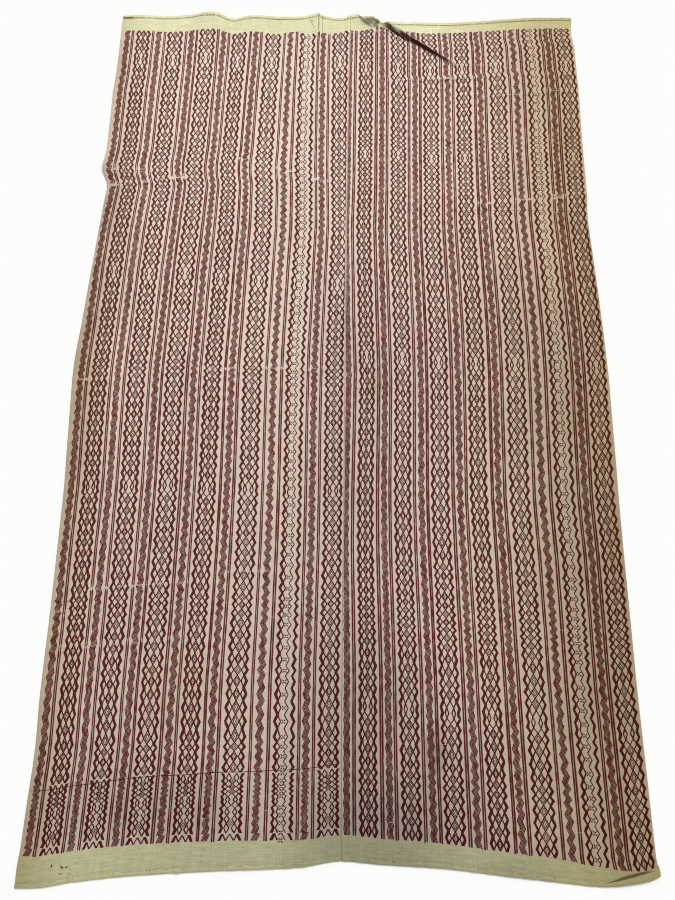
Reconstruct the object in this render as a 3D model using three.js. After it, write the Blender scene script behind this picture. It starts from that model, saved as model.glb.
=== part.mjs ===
// A handwoven cotton cloth of two loom widths sewn side by side, lying on a floor.
// Millimetres. +X to the right, +Y to the far end, +Z up. The origin is under the middle
// of the cloth, on the floor that it lies on.
import * as THREE from "three";

// The cloth and its hems. A hem is level between two shares of its width, and has come
// down to the cloth at a third.
const CLOTH = { thick: 2.0, seamGap: 0.3 };
const HEM = { wide: 10, high: 4.0, rimHigh: 2.8 };
const HEM_SHARES = { levelFrom: 0.3, levelTo: 0.8, end: 1.1 };

// The near right corner, where the plain end is rolled over itself.
const CORNER_ROLL = { startX: 435, endX: 545, wide: 16, high: 8.0, rimHigh: 4.0 };

// Outer edge of the left panel: x at a run of y, near end first.
const LEFT_EDGE = [
  { y: -953, x: -563 },
  { y: -919, x: -563 },
  { y: -881, x: -560 },
  { y: -802, x: -557 },
  { y: -720, x: -554 },
  { y: -635, x: -556 },
  { y: -456, x: -554 },
  { y: -262, x: -554 },
  { y: -105, x: -559 },
  { y: 4, x: -562 },
  { y: 119, x: -555 },
  { y: 238, x: -547 },
  { y: 363, x: -539 },
  { y: 428, x: -534 },
  { y: 454, x: -532 },
  { y: 477, x: -540 },
  { y: 507, x: -546 },
  { y: 562, x: -542 },
  { y: 631, x: -542 },
  { y: 702, x: -542 },
  { y: 775, x: -539 },
  { y: 952, x: -537 },
];

// The seam between the panels.
const SEAM = [
  { y: -953, x: -4 },
  { y: -808, x: -4 },
  { y: -463, x: -1 },
  { y: -168, x: 3 },
  { y: 352, x: 9 },
  { y: 707, x: 15 },
  { y: 952, x: 22 },
];

// Outer edge of the right panel.
const RIGHT_EDGE = [
  { y: -953, x: 545 },
  { y: -925, x: 544 },
  { y: -898, x: 540 },
  { y: -802, x: 540 },
  { y: -635, x: 540 },
  { y: -502, x: 542 },
  { y: -312, x: 545 },
  { y: -211, x: 548 },
  { y: -105, x: 551 },
  { y: 4, x: 554 },
  { y: 119, x: 553 },
  { y: 238, x: 551 },
  { y: 363, x: 548 },
  { y: 428, x: 552 },
  { y: 562, x: 555 },
  { y: 702, x: 560 },
  { y: 842, x: 562 },
  { y: 869, x: 557 },
  { y: 897, x: 559 },
  { y: 927, x: 563 },
  { y: 952, x: 561 },
];

// Hemmed edge at the near end: y at a run of x.
const NEAR_END = [
  { x: -570, y: -946 },
  { x: -535, y: -946 },
  { x: -465, y: -937 },
  { x: -360, y: -927 },
  { x: -220, y: -920 },
  { x: -80, y: -915 },
  { x: -4, y: -905 },
  { x: 60, y: -910 },
  { x: 165, y: -916 },
  { x: 270, y: -927 },
  { x: 375, y: -938 },
  { x: 445, y: -944 },
  { x: 515, y: -937 },
  { x: 550, y: -925 },
];

// Hemmed edge at the far end, with the waves that the folds put into it.
const FAR_END = [
  { x: -540, y: 939 },
  { x: -485, y: 941 },
  { x: -430, y: 938 },
  { x: -375, y: 941 },
  { x: -336, y: 946 },
  { x: -312, y: 945 },
  { x: -290, y: 938 },
  { x: -267, y: 930 },
  { x: -240, y: 937 },
  { x: -215, y: 941 },
  { x: -150, y: 936 },
  { x: -114, y: 936 },
  { x: -77, y: 939 },
  { x: -55, y: 942 },
  { x: -38, y: 938 },
  { x: -3, y: 933 },
  { x: 34, y: 936 },
  { x: 71, y: 938 },
  { x: 88, y: 927 },
  { x: 107, y: 914 },
  { x: 144, y: 912 },
  { x: 181, y: 914 },
  { x: 254, y: 916 },
  { x: 328, y: 921 },
  { x: 402, y: 928 },
  { x: 476, y: 933 },
  { x: 550, y: 933 },
];

// Folds as raised crests. Each runs from (x0, y0) to (x1, y1), is `high` at its start and
// `endHigh` at its end, and falls away over `leftWide` and `rightWide` on its two sides,
// left and right as seen when walking along it.
const FOLDS = [
  // the far right panel laps over itself along a slanting pleat
  { x0: 88, y0: 932, x1: 272, y1: 791, high: 11, endHigh: 3, leftWide: 62, rightWide: 8 },
  // the flap on the low side of that pleat
  { x0: 36, y0: 937, x1: 78, y1: 895, high: 7, endHigh: 3, leftWide: 7, rightWide: 20 },
  // a fold beside the seam
  { x0: 20, y0: 943, x1: 17, y1: 897, high: 6, endHigh: 2, leftWide: 9, rightWide: 9 },
  // a pinch in the far heading
  { x0: -55, y0: 953, x1: -60, y1: 883, high: 9, endHigh: 2, leftWide: 9, rightWide: 24 },
  // the wave in the far hem
  { x0: -308, y0: 957, x1: -292, y1: 887, high: 7, endHigh: 1, leftWide: 18, rightWide: 46 },
  // the left edge, pushed in
  { x0: -552, y0: 499, x1: -372, y1: 477, high: 6, endHigh: 1, leftWide: 20, rightWide: 14 },
  // the right edge, pushed up under the far corner
  { x0: 566, y0: 869, x1: 470, y1: 857, high: 5, endHigh: 1, leftWide: 14, rightWide: 18 },
];

// How far a fold fades out past the ends of its run, and the height that counts as flat.
const FOLD_END = 16;
const FLAT_BELOW = 0.05;

// Rounds that settle where a point of the sheet lies, and the step that measures a slope.
const SETTLING_ROUNDS = 6;
const SLOPE_STEP = 1;

// Rows of the mesh from the near end to the far one: `from` and `to` are y along the seam,
// `cells` is how many rows of cells fill the stretch.
const ROWS = [
  { from: 11, to: 34, cells: 2 },
  { from: 34, to: 120, cells: 2 },
  { from: 120, to: 1330, cells: 12 },
  { from: 1330, to: 1450, cells: 5 },
  { from: 1450, to: 1670, cells: 3 },
  { from: 1670, to: 1835, cells: 12 },
];

// Columns of each panel, as shares of its width from its left side.
const LEFT_COLUMNS = [
  { from: 0, to: 0.33, cells: 5 },
  { from: 0.33, to: 0.413, cells: 2 },
  { from: 0.413, to: 0.486, cells: 3 },
  { from: 0.486, to: 0.56, cells: 2 },
  { from: 0.56, to: 0.815, cells: 3 },
  { from: 0.815, to: 0.91, cells: 4 },
  { from: 0.91, to: 1, cells: 2 },
];
const RIGHT_COLUMNS = [
  { from: 0, to: 0.54, cells: 16 },
  { from: 0.54, to: 0.8, cells: 3 },
  { from: 0.8, to: 1, cells: 4 },
];

// Smooth curve through the rows of a table, without overshoot.
function curve(table, at, to) {
  const n = table.length;
  const step = (i) => table[i + 1][at] - table[i][at];
  const slope = (i) => (table[i + 1][to] - table[i][to]) / step(i);
  function tangent(i) {
    if (i === 0) return slope(0);
    if (i === n - 1) return slope(n - 2);
    const before = slope(i - 1);
    const after = slope(i);
    return before * after <= 0 ? 0 : (2 * before * after) / (before + after);
  }
  return (value) => {
    const s = Math.min(Math.max(value, table[0][at]), table[n - 1][at]);
    let i = 0;
    while (i < n - 2 && s > table[i + 1][at]) i += 1;
    const t = (s - table[i][at]) / step(i);
    const a = 1 - t;
    const ends = a * a * (1 + 2 * t) * table[i][to] + t * t * (3 - 2 * t) * table[i + 1][to];
    const bends = a * a * t * tangent(i) - t * t * a * tangent(i + 1);
    return ends + step(i) * bends;
  };
}

const leftEdge = curve(LEFT_EDGE, "y", "x");
const seam = curve(SEAM, "y", "x");
const rightEdge = curve(RIGHT_EDGE, "y", "x");
const nearEnd = curve(NEAR_END, "x", "y");
const farEnd = curve(FAR_END, "x", "y");

// Height of the underside above the floor at a place on it.
function lift(x, y) {
  let z = 0;
  for (const fold of FOLDS) {
    const runX = fold.x1 - fold.x0;
    const runY = fold.y1 - fold.y0;
    const run = Math.hypot(runX, runY);
    const along = ((x - fold.x0) * runX + (y - fold.y0) * runY) / run;
    const across = (runX * (y - fold.y0) - runY * (x - fold.x0)) / run;
    const wide = across > 0 ? fold.leftWide : fold.rightWide;
    const past = Math.max(-along, along - run, 0) / FOLD_END;
    const share = Math.min(Math.max(along / run, 0), 1);
    const high = fold.high + (fold.endHigh - fold.high) * share;
    z = Math.max(z, high * Math.exp(-((across / wide) ** 2) - past * past));
  }
  return z < FLAT_BELOW ? 0 : z;
}

// Thickness of the cloth at a distance from its hemmed end.
function thickness(fromEnd, wide, high, rimHigh) {
  const profile = [
    { d: 0, z: rimHigh },
    { d: HEM_SHARES.levelFrom * wide, z: high },
    { d: HEM_SHARES.levelTo * wide, z: high },
    { d: HEM_SHARES.end * wide, z: CLOTH.thick },
  ];
  const last = profile[profile.length - 1];
  if (fromEnd >= last.d) return CLOTH.thick;
  let i = 0;
  while (fromEnd > profile[i + 1].d) i += 1;
  const t = (fromEnd - profile[i].d) / (profile[i + 1].d - profile[i].d);
  return profile[i].z + (profile[i + 1].z - profile[i].z) * t;
}

function nearHem(x) {
  const span = CORNER_ROLL.endX - CORNER_ROLL.startX;
  const t = Math.min(Math.max((x - CORNER_ROLL.startX) / span, 0), 1);
  const mix = (a, b) => a + (b - a) * t;
  return {
    wide: mix(HEM.wide, CORNER_ROLL.wide),
    high: mix(HEM.high, CORNER_ROLL.high),
    rimHigh: mix(HEM.rimHigh, CORNER_ROLL.rimHigh),
  };
}

// Shares of the whole run at which a table of stretches puts its lines.
function lines(stretches) {
  const out = [stretches[0].from];
  for (const s of stretches) {
    for (let i = 1; i <= s.cells; i += 1) out.push(s.from + ((s.to - s.from) * i) / s.cells);
  }
  return out;
}

// Distances of the mesh's rows from the near end, on a cloth `long` from end to end. The
// rows beside each end follow its hem.
function rowsAt(x, long) {
  const hem = nearHem(x).wide;
  const level = [0, HEM_SHARES.levelFrom, HEM_SHARES.levelTo];
  const first = level.map((share) => share * hem);
  const last = level.map((share) => long - share * HEM.wide).reverse();
  const start = HEM_SHARES.end * hem;
  const end = long - HEM_SHARES.end * HEM.wide;
  const from = ROWS[0].from;
  const span = ROWS[ROWS.length - 1].to - from;
  const middle = lines(ROWS).map((d) => start + ((d - from) / span) * (end - start));
  return [...first, ...middle, ...last];
}

// One panel: rows of points on the underside and on the face, from its left side to its
// right one, closed round the rim.
function panel(leftSide, rightSide, columns) {
  const shares = lines(columns);
  const under = [];
  const face = [];
  const count = rowsAt(0, farEnd(0) - nearEnd(0)).length;
  for (let row = 0; row < count; row += 1) {
    for (const share of shares) {
      let y = 0;
      let x = 0;
      let near = 0;
      let far = 0;
      let d = 0;
      for (let pass = 0; pass < SETTLING_ROUNDS; pass += 1) {
        x = leftSide(y) + (rightSide(y) - leftSide(y)) * share;
        near = nearEnd(x);
        far = farEnd(x);
        d = rowsAt(x, far - near)[row];
        y = near + d;
      }
      const z = lift(x, y);
      const slopeX = (lift(x + SLOPE_STEP, y) - lift(x - SLOPE_STEP, y)) / (2 * SLOPE_STEP);
      const slopeY = (lift(x, y + SLOPE_STEP) - lift(x, y - SLOPE_STEP)) / (2 * SLOPE_STEP);
      const up = new THREE.Vector3(-slopeX, -slopeY, 1).normalize();
      const hem = nearHem(x);
      const thick = Math.max(
        thickness(d, hem.wide, hem.high, hem.rimHigh),
        thickness(far - near - d, HEM.wide, HEM.high, HEM.rimHigh),
      );
      under.push(new THREE.Vector3(x, y, z));
      face.push(new THREE.Vector3(x, y, z).addScaledVector(up, thick));
    }
  }
  return closedSheet(under, face, shares.length, count);
}

function closedSheet(under, face, across, along) {
  const positions = [];
  const index = [];
  for (const p of [...under, ...face]) positions.push(p.x, p.y, p.z);
  const low = (row, col) => row * across + col;
  const high = (row, col) => under.length + row * across + col;
  const quad = (a, b, c, d) => index.push(a, b, c, a, c, d);
  for (let row = 0; row < along - 1; row += 1) {
    for (let col = 0; col < across - 1; col += 1) {
      quad(high(row, col), high(row, col + 1), high(row + 1, col + 1), high(row + 1, col));
      quad(low(row, col), low(row + 1, col), low(row + 1, col + 1), low(row, col + 1));
    }
  }
  for (let col = 0; col < across - 1; col += 1) {
    const end = along - 1;
    quad(low(0, col), low(0, col + 1), high(0, col + 1), high(0, col));
    quad(low(end, col + 1), low(end, col), high(end, col), high(end, col + 1));
  }
  for (let row = 0; row < along - 1; row += 1) {
    const end = across - 1;
    quad(low(row, end), low(row + 1, end), high(row + 1, end), high(row, end));
    quad(low(row + 1, 0), low(row, 0), high(row, 0), high(row + 1, 0));
  }
  const geometry = new THREE.BufferGeometry();
  geometry.setAttribute("position", new THREE.Float32BufferAttribute(positions, 3));
  geometry.setIndex(index);
  geometry.computeVertexNormals();
  return geometry;
}

function cottonMesh(name, geometry, colour) {
  const material = new THREE.MeshStandardMaterial({
    color: colour,
    roughness: 0.95,
    metalness: 0,
  });
  const mesh = new THREE.Mesh(geometry, material);
  mesh.name = name;
  return mesh;
}

const half = CLOTH.seamGap / 2;
const group = new THREE.Group();
group.name = "handwoven_cloth";
group.add(
  cottonMesh("panel_left", panel(leftEdge, (y) => seam(y) - half, LEFT_COLUMNS), 0xc9a79a),
);
group.add(
  cottonMesh("panel_right", panel((y) => seam(y) + half, rightEdge, RIGHT_COLUMNS), 0xc6a397),
);

export default group;
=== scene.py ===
# %% [markdown]
# # A handwoven cotton cloth of two loom widths
# A weaver made one long, narrow cloth, cut it in half and sewed the halves side by side.
# The cloth is plain cotton with red pattern yarns that run along it and float on its face.
# It lies open on a floor, nearly flat, with a few folds in its far end.
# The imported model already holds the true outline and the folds. This lesson dresses it: two
# fine sheets for the panels, thousands of raised pattern floats, and the sewing.

import math
import random

import bpy
import numpy as np
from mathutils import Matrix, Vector


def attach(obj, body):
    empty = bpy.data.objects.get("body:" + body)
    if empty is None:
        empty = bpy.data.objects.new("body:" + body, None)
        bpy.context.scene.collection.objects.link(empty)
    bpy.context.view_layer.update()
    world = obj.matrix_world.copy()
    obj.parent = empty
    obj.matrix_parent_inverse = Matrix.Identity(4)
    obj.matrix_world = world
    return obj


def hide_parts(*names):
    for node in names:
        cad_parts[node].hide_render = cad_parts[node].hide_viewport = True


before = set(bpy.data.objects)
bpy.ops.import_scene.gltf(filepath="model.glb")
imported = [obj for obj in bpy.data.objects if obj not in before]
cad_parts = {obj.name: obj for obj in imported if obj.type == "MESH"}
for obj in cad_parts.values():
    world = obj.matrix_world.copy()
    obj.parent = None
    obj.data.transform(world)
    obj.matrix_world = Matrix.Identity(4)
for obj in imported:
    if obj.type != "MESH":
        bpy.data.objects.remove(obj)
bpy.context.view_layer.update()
MM = 0.001

# %% [markdown]
# ## The camera
# The photograph was taken from above the near end, looking down and a little forward. The
# two long edges run together towards the far end, and that gives the tilt and the lens.
# The camera comes first, so that every later step can be judged from the right place.

# %% Place the camera
LENS_MM = 27.06
SENSOR_MM = 36.0
TILT_OFF_PLUMB = math.radians(15.59)
CAMERA_DISTANCE = 1.366
AIM_ON_FLOOR = Vector((-0.0105, -0.168, 0.0))


def new_object(name, data):
    """An object that holds the data and stands in the scene."""
    made = bpy.data.objects.new(name, data)
    bpy.context.scene.collection.objects.link(made)
    return made


look = Vector((0.0, math.sin(TILT_OFF_PLUMB), -math.cos(TILT_OFF_PLUMB)))
camera_data = bpy.data.cameras.new("camera")
camera_data.lens = LENS_MM
camera_data.sensor_width = SENSOR_MM
camera = new_object("camera", camera_data)
camera.location = AIM_ON_FLOOR - look * CAMERA_DISTANCE
camera.rotation_euler = (TILT_OFF_PLUMB, 0.0, 0.0)
bpy.context.scene.camera = camera
print("camera stands at", [round(v, 3) for v in camera.location])

# %% [markdown]
# ## The outline of the cloth
# Each edge is a short table of places in millimetres, joined by a smooth curve that never
# overshoots. The tables are the ones that shaped the solids, so the fine sheets and the
# solids share one outline.

# %% Edges of the two panels
# Each row is (y, x): where along the cloth, and how far to the right the edge lies there.
LEFT_EDGE = [
    (-953, -563), (-919, -563), (-881, -560), (-802, -557), (-720, -554), (-635, -556),
    (-456, -554), (-262, -554), (-105, -559), (4, -562), (119, -555), (238, -547),
    (363, -539), (428, -534), (454, -532), (477, -540), (507, -546), (562, -542),
    (702, -542), (775, -539), (952, -537),
]
SEAM = [(-953, -4), (-808, -4), (-463, -1), (-168, 3), (352, 9), (707, 15), (952, 22)]
RIGHT_EDGE = [
    (-953, 545), (-925, 544), (-898, 540), (-802, 540), (-635, 540), (-502, 542),
    (-312, 545), (-211, 548), (-105, 551), (4, 554), (119, 553), (238, 551), (363, 548),
    (428, 552), (562, 555), (702, 560), (842, 562), (869, 557), (897, 559), (927, 563),
    (952, 561),
]
# Each row is (x, y): where across the cloth, and how far along it the hem lies there.
NEAR_END = [
    (-570, -946), (-535, -946), (-465, -937), (-360, -927), (-220, -920), (-80, -915),
    (-4, -905), (60, -910), (165, -916), (270, -927), (375, -938), (445, -944),
    (515, -937), (550, -925),
]
FAR_END = [
    (-540, 939), (-485, 941), (-430, 938), (-375, 941), (-336, 946), (-312, 945),
    (-290, 938), (-267, 930), (-240, 937), (-215, 941), (-150, 936), (-114, 936),
    (-77, 939), (-55, 942), (-38, 938), (-3, 933), (34, 936), (71, 938), (88, 927),
    (107, 914), (144, 912), (181, 914), (254, 916), (328, 921), (402, 928), (476, 933),
    (550, 933),
]


def smooth_curve(rows):
    """A smooth line through a table's rows, as a function, without overshoot."""
    at, to = (np.array(column, float) for column in zip(*rows))
    step = np.diff(at)
    slope = np.diff(to) / step
    before, after = slope[:-1], slope[1:]
    level = before * after <= 0
    both = np.where(level, 1.0, before + after)
    inner = np.where(level, 0.0, 2 * before * after / both)
    tangent = np.concatenate((slope[:1], inner, slope[-1:]))

    def value(where):
        s = np.clip(where, at[0], at[-1])
        i = np.clip(np.searchsorted(at, s, side="right") - 1, 0, len(step) - 1)
        t = (s - at[i]) / step[i]
        a = 1 - t
        ends = a * a * (1 + 2 * t) * to[i] + t * t * (3 - 2 * t) * to[i + 1]
        bends = a * a * t * tangent[i] - t * t * a * tangent[i + 1]
        return ends + step[i] * bends

    return value


left_edge, seam_line, right_edge = (smooth_curve(t) for t in (LEFT_EDGE, SEAM, RIGHT_EDGE))
near_end, far_end = smooth_curve(NEAR_END), smooth_curve(FAR_END)
HALF_GAP = 0.15
PANEL_SIDES = {
    "left": (left_edge, lambda y: seam_line(y) - HALF_GAP),
    "right": (lambda y: seam_line(y) + HALF_GAP, right_edge),
}
print("width at the near end:", round(float(right_edge(-900) - left_edge(-900))), "mm")

# %% [markdown]
# ## From cloth to floor
# A place on a panel is named by two shares: how far across, from the panel's left side, and
# how far along, from the near hem. Turning shares into x and y takes a few rounds, because
# the edges bend while the hems do too. A few rounds of "use the last answer" settle it.

# %% Find the place of a share of a panel
SETTLING_ROUNDS = 7


def plan(panel, across, along):
    """x, y and the local length of the cloth, in millimetres, for shares of a panel."""
    left, right = PANEL_SIDES[panel]
    y = np.zeros(np.broadcast(across, along).shape)
    for _ in range(SETTLING_ROUNDS):
        x = left(y) + (right(y) - left(y)) * across
        near = near_end(x)
        long = far_end(x) - near
        y = near + long * along
    return x, y, long


middle = plan("left", np.array(0.5), np.array(0.5))
print("middle of the left panel:", [round(float(v)) for v in middle])

# %% [markdown]
# ## Folds, creases and ripples
# Cloth that lies on a floor is never quite flat. The main folds repeat the solids' folds.
# Over them come the soft creases of storage, placed one by one where the photograph has
# them, and slow ripples of half a millimetre that catch the light. Each fold is a ridge: steep
# on one side, gentle on the other. The big pleat also leans over, so it makes a dark slit.

# %% Height of the cloth above the floor
# Each row: (x0, y0, x1, y1, height at start, height at end, width on its left and right
# side as one walks along it, how far it leans to its right side for each mm of height).
FOLDS = [
    (88, 932, 265, 797, 12.5, 5, 62, 4.5, 0.45),
    (36, 937, 78, 895, 7, 4, 5, 22, 0.0),
    (20, 943, 17, 897, 6, 2, 9, 9, 0.0),
    (-57, 953, -58, 883, 7, 2, 4, 22, -0.35),
    (-308, 957, -292, 887, 7, 1, 18, 46, 0.0),
    (-552, 499, -372, 477, 6, 1, 20, 14, 0.0),
    (566, 869, 470, 857, 5, 1, 14, 18, 0.0),
]
# Soft creases: (x0, y0, x1, y1, height, far width, near width).
CREASES = [
    (272, 790, 345, 787, 2.2, 16, 3.0),
    (120, 744, 250, 748, 1.8, 10, 2.5),
    (250, 748, 330, 754, 1.6, 10, 2.5),
    (330, 692, 562, 720, 2.2, 16, 3.5),
    (-545, 712, -450, 712, 1.2, 10, 3.0),
    (-535, 452, -370, 472, 1.8, 12, 3.0),
    (-225, 522, -40, 462, 1.2, 12, 3.5),
    (490, 422, 556, 422, 1.3, 14, 5.0),
    (300, 402, 480, 422, 1.0, 14, 4.0),
    (-290, 7, -40, 7, 0.8, 14, 4.0),
    (-480, -443, -310, -433, 1.0, 12, 4.0),
    (-215, -411, -160, -411, 0.7, 8, 4.0),
    (-562, -16, -530, -16, 0.9, 7, 4.0),
    (-560, -490, -525, -490, 0.9, 8, 4.0),
    (-530, -553, -310, -533, 0.8, 12, 4.0),
    (-276, 930, -272, 880, 1.6, 9, 4.0),
    (-288, -938, -284, -896, 1.6, 4, 9.0),
]
FOLD_END_MM = 16.0
CREASE_END_MM = 22.0
# Slow ripples: (height, wavelength across, wavelength along, phase).
RIPPLES = [
    (0.30, 410, 640, 0.4), (0.24, 230, -380, 1.9), (0.18, -150, 210, 3.1),
    (0.16, 90, 330, 5.2), (0.12, 70, -95, 2.3), (0.10, -48, 130, 0.9),
]


def ridge(x, y, start, end, left_wide, right_wide, falloff):
    """Shape of a ridge, 0 to 1, and how far along its run each point lies."""
    run_x, run_y = end[0] - start[0], end[1] - start[1]
    run = math.hypot(run_x, run_y)
    along = ((x - start[0]) * run_x + (y - start[1]) * run_y) / run
    across = (run_x * (y - start[1]) - run_y * (x - start[0])) / run
    wide = np.where(across > 0, left_wide, right_wide)
    past = np.maximum(np.maximum(-along, along - run), 0) / falloff
    return np.exp(-((across / wide) ** 2) - past**2), np.clip(along / run, 0, 1)


def lift(x, y):
    """Height of the underside, and how far the cloth leans over in x and y."""
    z = np.zeros_like(x)
    lean_x, lean_y = np.zeros_like(x), np.zeros_like(x)
    for x0, y0, x1, y1, high, end_high, left_wide, right_wide, lean in FOLDS:
        shape, share = ridge(x, y, (x0, y0), (x1, y1), left_wide, right_wide, FOLD_END_MM)
        height = (high + (end_high - high) * share) * shape
        z = np.maximum(z, height)
        run = math.hypot(x1 - x0, y1 - y0)
        lean_x += lean * height * (y1 - y0) / run
        lean_y -= lean * height * (x1 - x0) / run
    for x0, y0, x1, y1, high, far_wide, near_wide in CREASES:
        shape, _ = ridge(x, y, (x0, y0), (x1, y1), far_wide, near_wide, CREASE_END_MM)
        z = z + high * shape
    swell = np.zeros_like(x)
    for high, wave_x, wave_y, phase in RIPPLES:
        swell += high * np.sin(2 * math.pi * (x / wave_x + y / wave_y) + phase)
    return z + np.maximum(swell, 0), lean_x, lean_y


ON_THE_PLEAT = (np.array([90.0]), np.array([918.0]))
pleat_top = lift(*ON_THE_PLEAT)[0][0]
print("the pleat stands", round(float(pleat_top), 1), "mm high")

# %% [markdown]
# ## Thickness and hems
# The cloth is a millimetre and a half thick. Each end is turned over and stitched, so it is
# about twice as thick there, and the stitches pucker it. At the near right corner the hem
# grows into a roll with a lip. The dark line beside the roll is a painted shadow, which comes
# with the finishes.

# %% Cross-section of the hems
CLOTH_THICK = 1.5
THINNEST_SHARE = 0.8
# Width of the near hem (True) and of the far one, in mm.
HEM_WIDE = {True: 7.5, False: 9.5}
HEM_HIGH = 2.9
ROLL_START_X, ROLL_END_X = 436.0, 548.0
ROLL_WIDE, ROLL_HIGH, ROLL_LIP = 14.0, 6.5, 3.5
# Each row: (share of the hem's width, share of its height, share of the lip's overhang).
HEM_PROFILE = [
    (0.0, 0.45, -0.02), (0.05, 0.78, -0.02), (0.18, 0.95, 0.0), (0.40, 1.0, 0.1),
    (0.70, 0.99, 0.45), (0.87, 0.86, 0.95), (0.92, 0.62, 1.0), (0.95, 0.38, 0.45),
]
HEM_LIP = 0.8
HEM_PUCKER_MM = 0.45
# Puckers: a fine wave that swells and fades, and a share of a coarser one.
FINE_PUCKER_MM, PUCKER_SWELL_MM, COARSE_PUCKER_MM = 2.9, 11.3, 5.1
COARSE_PUCKER_SHARE = 0.6


def roll_share(x):
    """How much of the near right corner's roll the hem has at a place across the cloth."""
    t = np.clip((x - ROLL_START_X) / (ROLL_END_X - ROLL_START_X), 0, 1)
    return t * (2 - t)


def hem_size(x, near):
    """Width, height and overhang of the hem at a place across the cloth."""
    roll = roll_share(x) if near else np.zeros_like(x)
    wide = HEM_WIDE[near] + (ROLL_WIDE - HEM_WIDE[near]) * roll
    high = HEM_HIGH + (ROLL_HIGH - HEM_HIGH) * roll
    fine = np.sin(x / FINE_PUCKER_MM) * np.sin(x / PUCKER_SWELL_MM + 1.0)
    pucker = fine + COARSE_PUCKER_SHARE * np.sin(x / COARSE_PUCKER_MM + 2.0)
    lip = HEM_LIP + (ROLL_LIP - HEM_LIP) * roll
    return wide, high + HEM_PUCKER_MM * pucker * (1 - roll), lip


print("hem rows in the cross-section:", len(HEM_PROFILE))

# %% [markdown]
# ## The fine sheets
# Each panel is one closed sheet: a grid of points on the underside, the same grid on the
# face, and a rim between them. The grid is finer at the far end, where the folds are. A
# flat grid pushed by a Displace modifier could do the same, but writing the points directly
# keeps the hems' cross-section exact. The UV map holds the weaver's own coordinates: how
# far across the warp, and how many metres of weaving from the start of the pattern.

# %% Weaver's coordinates
PANEL_WIDE = 560.0
PANEL_LONG = 1880.0
PATTERN_LONG = 1790.0
# Plain ends in mm, as (across, length): where the pattern begins and where it stops.
PLAIN_NEAR = {
    "left": [(0, 49), (300, 48), (450, 45), (560, 41)],
    "right": [(0, 42), (150, 41), (300, 38), (350, 38), (385, 37), (415, 35),
              (450, 31), (475, 28), (490, 23), (508, 20), (530, 17), (560, 16)],
}
PLAIN_FAR = {
    "left": [(0, 46), (150, 50), (240, 47), (320, 51), (345, 54), (385, 54), (405, 49),
             (432, 47), (447, 56), (470, 59), (485, 54), (512, 54), (530, 48), (560, 40)],
    "right": [(0, 40), (30, 47), (66, 44), (72, 24), (78, 16), (88, 14), (100, 17), (118, 21),
              (140, 28), (165, 33), (185, 36), (230, 35), (285, 32), (560, 34)],
}
# How far the stripes wander sideways: (mm from the far end, then mm of drift at each of
# DRIFT_AT across the panel).
DRIFT_AT = (25, 180, 340, 500)
DRIFT = {
    "left": [
        (100, 2.5, 7.5, 9, 1), (240, 2.5, 8.5, 7, 3), (480, 0, 4, 2, 6),
        (600, -3, 3, 6.5, 9.5), (700, -2, 2.5, 5.5, 7), (900, 3.5, 6, 5.5, 2.5),
        (1080, 1.5, 4.5, 5, 1.5), (1320, 0, 2.5, 4.5, 2.5), (1560, 1, 1, 0, 0),
        (1800, 0, -1.5, -0.5, 0.5),
    ],
    "right": [
        (100, -7, -4.5, -3.5, 0), (160, -7, -5, -4, 0), (172, -7, -2.5, -1, 2),
        (240, -6.5, -3.5, -1.5, 2.5), (480, -6.5, -5.5, -3, 0),
        (600, -9, -6.5, -1.5, 3), (840, -4.5, -4, -0.5, 2.5), (960, -1, -4.5, -3, 0),
        (1200, -4.5, -7.5, -7, -3.5), (1320, -4.5, -6, -3.5, 0), (1560, 0.5, 0, 0.5, -1),
        (1800, 0.5, 0.5, 2, 1),
    ],
}
# How far the weft rows slope: (mm from the far end, mm that the row drops over the width).
ROW_SLOPE = {
    "left": [(60, 0), (250, 12), (510, 40), (770, 46), (1030, 42), (1290, 22), (1550, 9),
             (1750, 0)],
    "right": [(60, 0), (400, 6), (900, 8), (1400, 7), (1800, 0)],
}
ROW_PIVOT = {"left": 204.0, "right": 200.0}
SIDE_MARGIN = 0.003
WEAVER_ROUNDS = 3


def along_table(rows, at):
    """The value that a table of (place, value) rows gives at a place."""
    xs, ys = zip(*rows)
    return np.interp(at, xs, ys)


def drift(panel, warp, from_far):
    """Sideways wandering of a stripe, in mm."""
    rows = np.array(DRIFT[panel], float)
    columns = [np.interp(from_far, rows[:, 0], rows[:, 1 + k]) for k in range(len(DRIFT_AT))]
    out = columns[0]
    for k in range(len(DRIFT_AT) - 1):
        t = np.clip((warp - DRIFT_AT[k]) / (DRIFT_AT[k + 1] - DRIFT_AT[k]), 0, 1)
        out = out + (columns[k + 1] - columns[k]) * t * t * (3 - 2 * t)
    return out


def row_drop(panel, warp, from_far):
    """How far a weft row lies nearer than its level, in mm."""
    slope = along_table(ROW_SLOPE[panel], from_far) / PANEL_WIDE
    turn = warp - ROW_PIVOT[panel]
    if panel == "right":
        turn = np.maximum(turn, 0)
    return slope * turn


def to_shares(panel, warp, woven):
    """Shares across and along a panel, for weaver's coordinates in mm."""
    near = along_table(PLAIN_NEAR[panel], warp)
    far = along_table(PLAIN_FAR[panel], warp)
    level = near + (PANEL_LONG - near - far) * woven / PATTERN_LONG
    from_far = PANEL_LONG - level
    drop = row_drop(panel, warp, from_far)
    across = (warp + drift(panel, warp, from_far + drop)) / PANEL_WIDE
    return np.clip(across, SIDE_MARGIN, 1 - SIDE_MARGIN), (level - drop) / PANEL_LONG


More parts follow.
